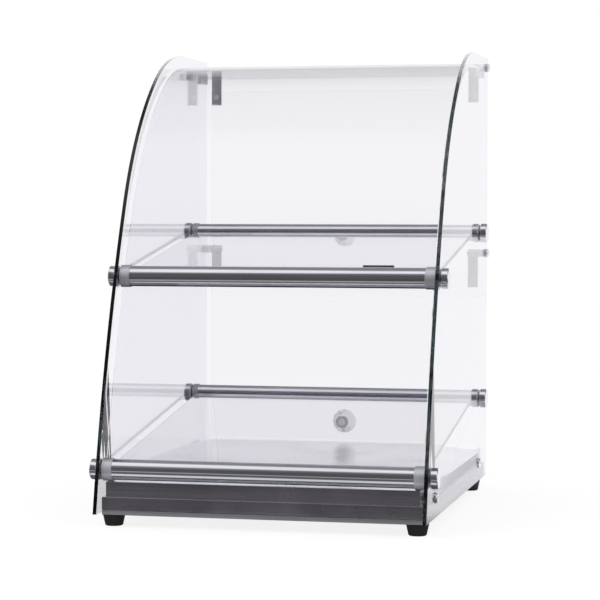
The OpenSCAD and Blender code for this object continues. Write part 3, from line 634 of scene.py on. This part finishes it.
def make_knob(node, body, m):
    """A clear knob: a turned foot and neck, then rows of staggered facets up to a flat table."""
    low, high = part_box(node)
    centre_x, centre_z = (low.x + high.x) / 2, (low.z + high.z) / 2
    radius = (high.x - low.x) / 2
    length = high.y - low.y
    bm = bmesh.new()
    rings = []
    for along, wide, turned in KNOB_RINGS:
        ring = []
        for k in range(FACETS):
            angle = (turned + 2 * k) * math.pi / FACETS
            x = centre_x + radius * wide * math.cos(angle)
            z = centre_z + radius * wide * math.sin(angle)
            ring.append(bm.verts.new((x, low.y + along * length, z)))
        rings.append((turned, ring))
    for (turned_a, a), (turned_b, b) in zip(rings, rings[1:]):
        join_rings(bm, a, b, turned_a, turned_b)
    bm.faces.new(rings[0][1])
    bm.faces.new(rings[-1][1])
    bmesh.ops.recalc_face_normals(bm, faces=bm.faces)
    bmesh.ops.bevel(bm, geom=list(bm.edges), offset=FACET_ARRIS, segments=1, affect="EDGES",
                    clamp_overlap=True)
    name = node.replace("_door", "") + "_cut"
    piece = finish_piece(bm, name, [m["knob"]], body, node)
    piece.data.shade_flat()


# ---------------------------------------------------------------- CAD nodes that keep their shape

# The material of each slot, and of the nodes that differ from their slot
LOOKS = {
    "clear_blocks": "block", "bar_steel": "bar", "collar_steel": "collar", "rod_steel": "rod",
    "washer_clear": "washer", "wedge_rubber": "wedge", "deck_steel": "deck", "cover_steel": "cover",
    "strap_steel": "strap", "fastener_steel": "fastener", "foot_rubber": "foot", "white_nylon": "nylon",
    "element_sheath": "sheath", "reflector_aluminium": "aluminium", "bulb_copper": "copper",
    "black_plastic": "black", "rocker_red": "rocker", "lamp_lens": "lens", "blade_brass": "brass",
    "wire_red": "wire", "side_glass": "panel_face", "clear_glass": "sheet_face", "knob_acrylic": "knob",
}
NODE_LOOKS = {
    "caps_left": "cap", "caps_right": "cap", "base_tray": "tray", "thermostat_body": "ceramic",
    "terminal_block": "ceramic", "reflector_posts": "post", "element_clips": "post", "hinge_pins": "pin",
    # The strap screws take the pale knob-screw steel as a painted glint.
    "upper_strap_screws": "knob_screw", "lower_strap_screws": "knob_screw",
    "upper_knob_screw": "knob_screw", "lower_knob_screw": "knob_screw",
}

# How far the modifiers round the sharp edges
ROUNDING = {"deck_box": 0.5 * MM, "base_tray": 0.5 * MM, "bottom_cover": 0.4 * MM, "rear_panel": 0.25 * MM}
PLAIN_ROUNDING = 0.22 * MM

# Clear pieces whose faces lie on glass, drawn a hair smaller so that two faces never share a place
BONDED = ("top_glass_blocks", "bar_washers")
HAIRLINE = 0.05 * MM


def make_node_looks(m):
    """Gives every CAD node its material, and rounds its sharp edges with modifiers."""
    for part in frame["record"]["subparts"]:
        node = part["node"]
        thing = NODES[node]
        look = m[NODE_LOOKS.get(node, LOOKS[part["material_slot"]])]
        thing.data.materials.clear()
        thing.data.materials.append(look)
        if thing.hide_render:
            continue
        weld = thing.modifiers.new("weld", "WELD")
        weld.merge_threshold = WELD
        if node in BONDED:
            gap = thing.modifiers.new("hairline", "DISPLACE")
            gap.mid_level = 0
            gap.strength = -HAIRLINE
        bevel = thing.modifiers.new("soft_edges", "BEVEL")
        bevel.limit_method = "ANGLE"
        bevel.angle_limit = SHARP
        bevel.width = ROUNDING.get(node, PLAIN_ROUNDING)
        bevel.segments = 2
        normals = thing.modifiers.new("normals", "WEIGHTED_NORMAL")
        normals.weight = 50


make_studio()
materials = make_materials()
make_side_panels(materials)
make_front_sheets(materials)
make_shelves(materials)
make_doors(materials)
make_knob("upper_door_knob", "upper_door", materials)
make_knob("lower_door_knob", "lower_door", materials)
make_node_looks(materials)
